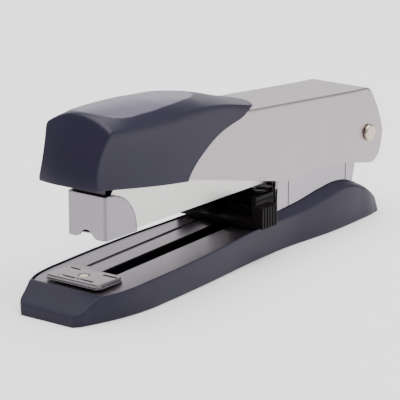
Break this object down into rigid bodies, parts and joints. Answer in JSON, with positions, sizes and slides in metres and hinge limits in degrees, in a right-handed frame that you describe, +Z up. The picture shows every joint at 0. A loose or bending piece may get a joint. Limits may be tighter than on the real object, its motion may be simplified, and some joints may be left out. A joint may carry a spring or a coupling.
{
  "type": "desk stapler",
  "caption": "Long desk stapler with a moulded grip on a steel handle, a lifting magazine over a tapered base, a turning anvil and a sliding paper guide.",
  "frame": {"origin": "centre of the box around the stapler, at the table under its sole", "axes": "+Z up, +Y towards the hinge at the rear, the nose end faces -Y, +X to the right seen from the nose looking back"},
  "size_m": [0.037, 0.173, 0.0652],
  "materials": {
    "slate_plastic": "dark blue-grey moulded plastic with a fine satin texture",
    "black_plastic": "black moulded plastic",
    "sole_rubber": "matt black non-slip rubber",
    "satin_steel": "satin nickel-plated sheet steel",
    "bright_steel": "bright nickel-plated sheet steel",
    "pale_steel": "pale zinc-plated sheet steel",
    "spring_steel": "bright spring steel",
    "nickel": "warm polished nickel"
  },
  "bodies": {
    "base": {"base_shell": "slate_plastic", "base_plate": "satin_steel", "base_sole": "sole_rubber", "anvil_spring": "spring_steel", "hinge_bracket": "bright_steel", "bracket_rivet_front": "nickel", "bracket_rivet_rear": "nickel", "lift_spring_seat": "black_plastic", "lift_spring": "spring_steel", "pivot_pin": "nickel", "pivot_pin_cap": "nickel", "pivot_spacer_left": "satin_steel", "pivot_spacer_right": "satin_steel"},
    "anvil": {"anvil_plate": "bright_steel", "anvil_rivet": "nickel", "anvil_button": "black_plastic"},
    "paper_guide": {"paper_guide": "black_plastic", "guide_clip": "spring_steel", "guide_screw": "spring_steel", "guide_spacer": "black_plastic"},
    "magazine": {"magazine_channel": "pale_steel", "nose_plate": "bright_steel", "pivot_sleeve": "satin_steel", "magazine_rail": "satin_steel", "staple_strip": "pale_steel", "magazine_end_block": "black_plastic", "pusher_rod": "spring_steel", "pusher_spring": "spring_steel"},
    "pusher": {"pusher": "spring_steel"},
    "loading_frame": {"loading_frame": "satin_steel", "driver_leaf": "spring_steel", "handle_spring": "spring_steel"},
    "driver": {"driver_blade": "spring_steel"},
    "handle": {"handle_cover": "satin_steel", "handle_cap": "slate_plastic", "cap_screw_front": "spring_steel", "cap_screw_rear": "spring_steel"}
  },
  "joints": [
    {"name": "magazine_hinge", "type": "hinge", "parent": "base", "child": "magazine", "pos_m": [0, 0.07625, 0.0308], "axis": [-1, 0, 0], "range_deg": [-4.6, 0], "stiffness_Nm_per_rad": 4, "springref_deg": 8.59, "deforming": ["lift_spring"]},
    {"name": "loading_hinge", "type": "hinge", "parent": "magazine", "child": "loading_frame", "pos_m": [0, 0.07625, 0.0308], "axis": [-1, 0, 0], "range_deg": [0, 75]},
    {"name": "handle_press", "type": "hinge", "parent": "loading_frame", "child": "handle", "pos_m": [0, 0.07625, 0.0308], "axis": [-1, 0, 0], "range_deg": [-3.3, 0], "stiffness_Nm_per_rad": 3, "springref_deg": 6.88, "deforming": ["handle_spring"]},
    {"name": "driver_slide", "type": "slide", "parent": "loading_frame", "child": "driver", "axis": [0, 0, 1], "range_m": [-0.0083, 0]},
    {"name": "pusher_slide", "type": "slide", "parent": "magazine", "child": "pusher", "axis": [0, 1, 0], "range_m": [0, 0.045], "stiffness_N_per_m": 20, "springref_m": -0.08, "deforming": ["pusher_spring"]},
    {"name": "anvil_turn", "type": "hinge", "parent": "base", "child": "anvil", "pos_m": [0, -0.06825, 0.0106], "axis": [0, 0, 1], "range_deg": [0, 180]},
    {"name": "guide_slide", "type": "slide", "parent": "base", "child": "paper_guide", "axis": [0, -0.9994, -0.036], "range_m": [0, 0.047]}
  ],
  "couplings": [
    {"joint": "driver_slide", "follows": "handle_press", "m_per_rad": 0.1406}
  ]
}
